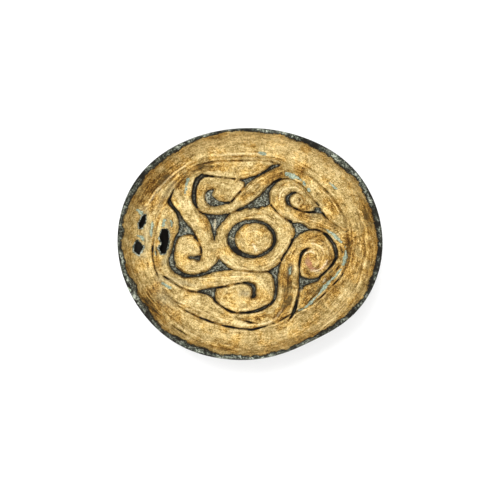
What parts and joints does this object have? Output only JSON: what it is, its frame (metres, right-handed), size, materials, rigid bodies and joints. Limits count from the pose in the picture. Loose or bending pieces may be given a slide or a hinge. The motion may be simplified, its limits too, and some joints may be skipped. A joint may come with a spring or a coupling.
{
  "type": "fibula brooch",
  "caption": "Oval cast saucer brooch with a flaring rim, running spirals round a ringed boss, a worn-through edge, and pin lugs and a hooked catch behind.",
  "frame": {"origin": "centre of the bounding box in plan, on the plane that the feet of the pin fittings rest on", "axes": "+X along the long axis of the oval, towards the catch; +Y towards the top of the face; +Z out of the decorated face"},
  "size_m": [0.044, 0.0386, 0.0113],
  "materials": {
    "saucer_brooch": "worn gilding over patinated copper alloy"
  },
  "bodies": {
    "root": {"saucer_brooch": "saucer_brooch"}
  },
  "joints": []
}
